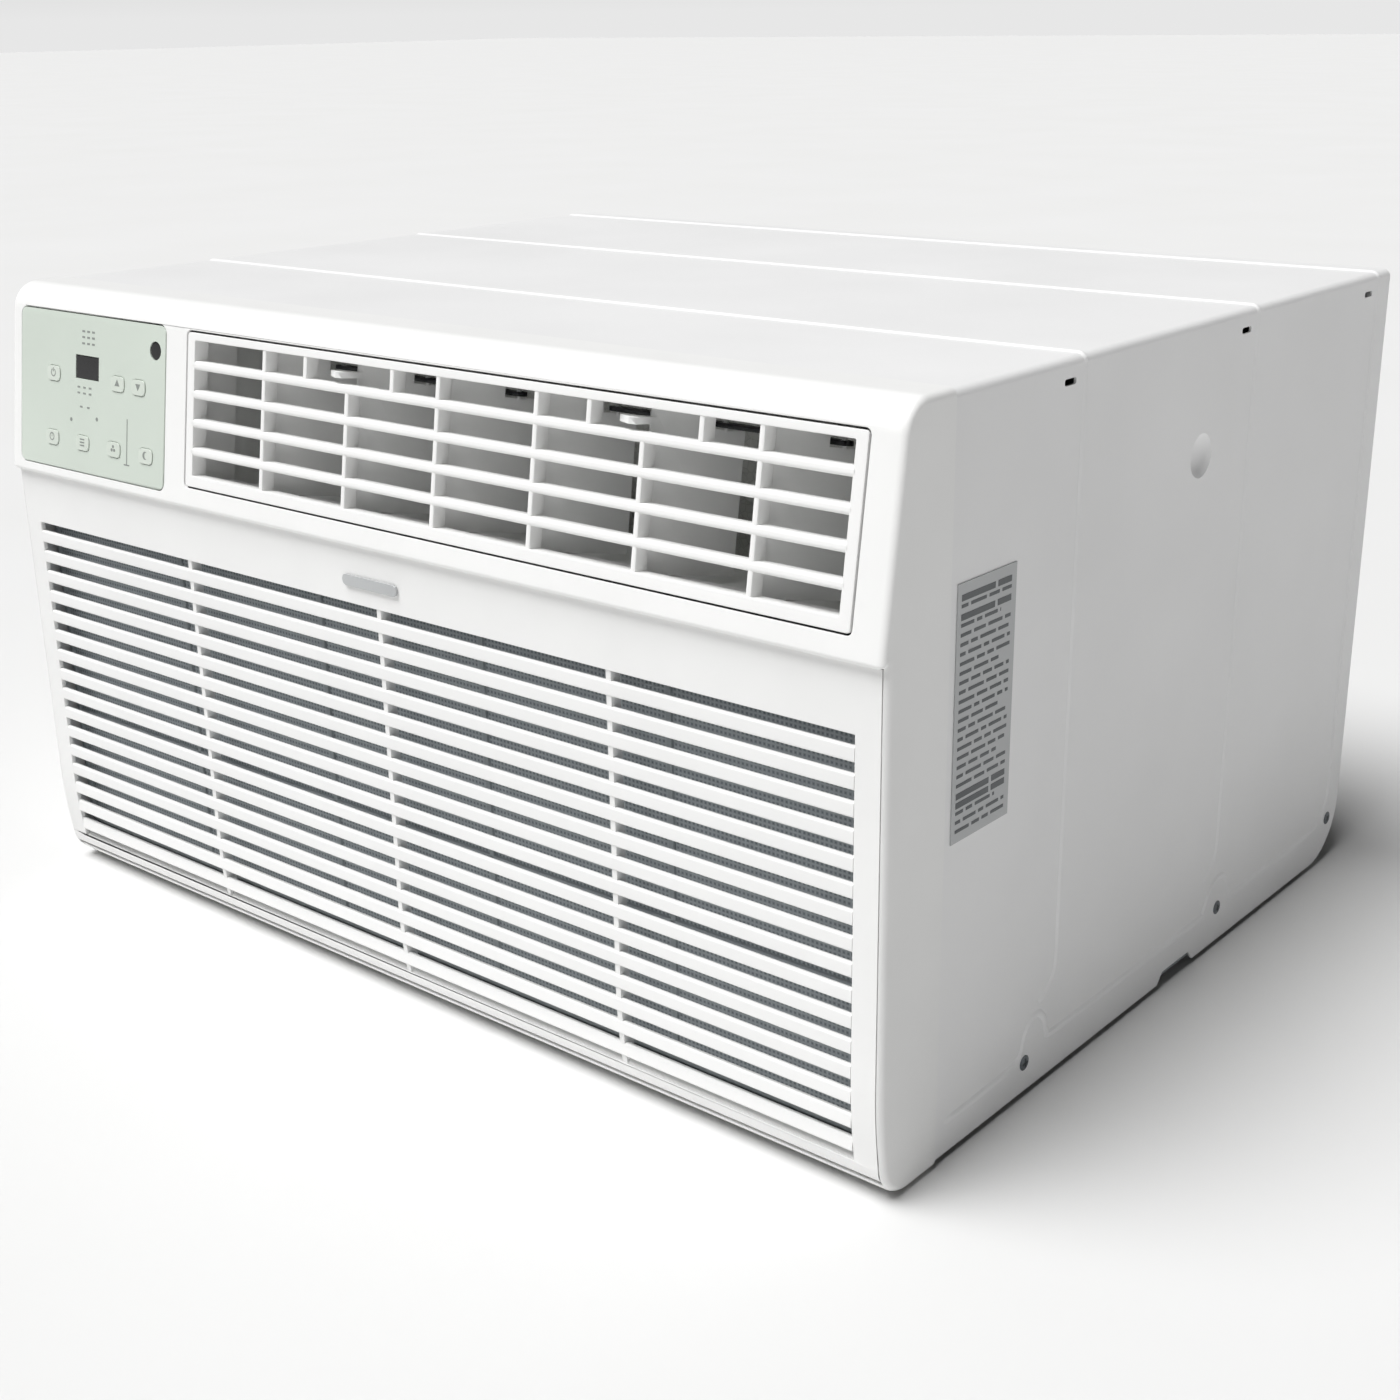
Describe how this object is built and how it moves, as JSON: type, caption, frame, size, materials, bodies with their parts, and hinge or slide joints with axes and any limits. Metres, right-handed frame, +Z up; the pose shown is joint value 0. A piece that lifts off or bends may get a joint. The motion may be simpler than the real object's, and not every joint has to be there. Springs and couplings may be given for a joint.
{
  "type": "window air conditioner",
  "caption": "Through-the-wall room air conditioner with a hinged intake grille, louvred outlet with turning vanes and a push-button control plate",
  "frame": {"origin": "Centre of the underside of the overall box, on the floor plane.", "axes": "+X is the width, to the right seen from the front. +Y points from the front panel to the rear guard. +Z is up."},
  "size_m": [0.615, 0.506, 0.355],
  "materials": {
    "casing_white_plastic": "moulded, fine texture",
    "painted_steel": "off-white powder coat",
    "inner_plastic": "moulded",
    "black_plastic": "moulded",
    "control_film": "satin overlay",
    "dark_window": "smoked, clear gloss",
    "button_plastic": "satin",
    "badge_plastic": "silver grey",
    "galvanised_steel": "zinc coated",
    "aluminium_fins": "bare",
    "copper_pipe": "drawn copper",
    "black_paint": "satin black",
    "rubber": "moulded",
    "steel": "plated",
    "circuit_board": "glass-fibre laminate",
    "filter_net": "woven mesh in a frame",
    "foam": "expanded foam",
    "label_film": "printed film"
  },
  "bodies": {
    "chassis": {"control_plate": "control_film", "display_window": "dark_window", "infrared_window": "dark_window", "control_board": "circuit_board", "louvre_insert": "casing_white_plastic", "front_panel": "casing_white_plastic", "cabinet_wrapper": "painted_steel", "base_pan": "galvanised_steel", "left_casing_screw_1": "steel", "left_casing_screw_2": "steel", "left_casing_screw_3": "steel", "right_casing_screw_1": "steel", "right_casing_screw_2": "steel", "right_casing_screw_3": "steel", "rating_label": "label_film", "rear_guard": "painted_steel", "evaporator_coil": "aluminium_fins", "drain_tray": "foam", "condenser_coil": "aluminium_fins", "blower_housing": "foam", "discharge_duct": "inner_plastic", "bulkhead": "galvanised_steel", "fan_motor": "steel", "motor_bracket": "galvanised_steel", "fan_shroud": "black_plastic", "compressor": "black_paint", "compressor_grommet_1": "rubber", "compressor_grommet_2": "rubber", "compressor_grommet_3": "rubber", "terminal_cover": "black_plastic", "accumulator": "black_paint", "suction_pipe": "copper_pipe", "discharge_pipe": "copper_pipe", "liquid_line": "copper_pipe", "filter_drier": "copper_pipe", "capillary_tube": "copper_pipe", "control_box": "galvanised_steel", "run_capacitor": "aluminium_fins"},
    "rotor": {"motor_shaft": "steel", "blower_wheel": "black_plastic", "condenser_fan": "black_plastic"},
    "grille": {"intake_grille": "casing_white_plastic", "badge": "badge_plastic"},
    "filter": {"air_filter": "filter_net"},
    "left_vane_2": {"left_vane_2": "casing_white_plastic"},
    "left_vane_1": {"left_vane_1": "casing_white_plastic"},
    "left_vane_3": {"left_vane_3": "casing_white_plastic"},
    "left_tie_bar": {"left_tie_bar": "black_plastic"},
    "right_vane_2": {"right_vane_2": "casing_white_plastic"},
    "right_vane_1": {"right_vane_1": "casing_white_plastic"},
    "right_vane_3": {"right_vane_3": "casing_white_plastic"},
    "right_tie_bar": {"right_tie_bar": "black_plastic"},
    "timer_button": {"timer_button": "button_plastic"},
    "mode_button": {"mode_button": "button_plastic"},
    "fan_button": {"fan_button": "button_plastic"},
    "sleep_button": {"sleep_button": "button_plastic"},
    "power_button": {"power_button": "button_plastic"},
    "temp_up_button": {"temp_up_button": "button_plastic"},
    "temp_down_button": {"temp_down_button": "button_plastic"}
  },
  "joints": [
    {"name": "fan_spin", "type": "hinge", "parent": "chassis", "child": "rotor", "pos_m": [-0.04, 0, 0.168], "axis": [0, 1, 0], "continuous": true},
    {"name": "grille_open", "type": "hinge", "parent": "chassis", "child": "grille", "pos_m": [0, -0.23916, 0.01621], "axis": [1, 0, 0], "range_deg": [0, 60]},
    {"name": "filter_lift", "type": "slide", "parent": "grille", "child": "filter", "axis": [0, 0, 1], "range_m": [0, 0.008]},
    {"name": "left_vane_2_turn", "type": "hinge", "parent": "chassis", "child": "left_vane_2", "pos_m": [-0.01661, -0.22187, 0.2959], "axis": [0, 0.1478, 0.989], "range_deg": [-5, 65]},
    {"name": "left_vane_1_turn", "type": "hinge", "parent": "chassis", "child": "left_vane_1", "pos_m": [-0.08018, -0.22187, 0.2959], "axis": [0, 0.1478, 0.989], "range_deg": [-5, 65]},
    {"name": "left_vane_3_turn", "type": "hinge", "parent": "chassis", "child": "left_vane_3", "pos_m": [0.04696, -0.22187, 0.2959], "axis": [0, 0.1478, 0.989], "range_deg": [-5, 65]},
    {"name": "left_tie_bar_swing", "type": "hinge", "parent": "left_vane_2", "child": "left_tie_bar", "pos_m": [-0.00561, -0.19845, 0.32375], "axis": [0, 0.1478, 0.989], "range_deg": [-65, 5]},
    {"name": "right_vane_2_turn", "type": "hinge", "parent": "chassis", "child": "right_vane_2", "pos_m": [0.17411, -0.22187, 0.2959], "axis": [0, 0.1478, 0.989], "range_deg": [-5, 65]},
    {"name": "right_vane_1_turn", "type": "hinge", "parent": "chassis", "child": "right_vane_1", "pos_m": [0.11054, -0.22187, 0.2959], "axis": [0, 0.1478, 0.989], "range_deg": [-5, 65]},
    {"name": "right_vane_3_turn", "type": "hinge", "parent": "chassis", "child": "right_vane_3", "pos_m": [0.23768, -0.22187, 0.2959], "axis": [0, 0.1478, 0.989], "range_deg": [-5, 65]},
    {"name": "right_tie_bar_swing", "type": "hinge", "parent": "right_vane_2", "child": "right_tie_bar", "pos_m": [0.18511, -0.19845, 0.32375], "axis": [0, 0.1478, 0.989], "range_deg": [-65, 5]},
    {"name": "timer_button_press", "type": "slide", "parent": "chassis", "child": "timer_button", "axis": [0, 0.989, -0.1478], "range_m": [0, 0.0008], "stiffness_N_per_m": 300},
    {"name": "mode_button_press", "type": "slide", "parent": "chassis", "child": "mode_button", "axis": [0, 0.989, -0.1478], "range_m": [0, 0.0008], "stiffness_N_per_m": 300},
    {"name": "fan_button_press", "type": "slide", "parent": "chassis", "child": "fan_button", "axis": [0, 0.989, -0.1478], "range_m": [0, 0.0008], "stiffness_N_per_m": 300},
    {"name": "sleep_button_press", "type": "slide", "parent": "chassis", "child": "sleep_button", "axis": [0, 0.989, -0.1478], "range_m": [0, 0.0008], "stiffness_N_per_m": 300},
    {"name": "power_button_press", "type": "slide", "parent": "chassis", "child": "power_button", "axis": [0, 0.989, -0.1478], "range_m": [0, 0.0008], "stiffness_N_per_m": 300},
    {"name": "temp_up_button_press", "type": "slide", "parent": "chassis", "child": "temp_up_button", "axis": [0, 0.989, -0.1478], "range_m": [0, 0.0008], "stiffness_N_per_m": 300},
    {"name": "temp_down_button_press", "type": "slide", "parent": "chassis", "child": "temp_down_button", "axis": [0, 0.989, -0.1478], "range_m": [0, 0.0008], "stiffness_N_per_m": 300}
  ],
  "couplings": [
    {"joint": "left_vane_1_turn", "follows": "left_vane_2_turn", "ratio": 1},
    {"joint": "left_vane_3_turn", "follows": "left_vane_2_turn", "ratio": 1},
    {"joint": "left_tie_bar_swing", "follows": "left_vane_2_turn", "ratio": -1},
    {"joint": "right_vane_1_turn", "follows": "right_vane_2_turn", "ratio": 1},
    {"joint": "right_vane_3_turn", "follows": "right_vane_2_turn", "ratio": 1},
    {"joint": "right_tie_bar_swing", "follows": "right_vane_2_turn", "ratio": -1}
  ]
}
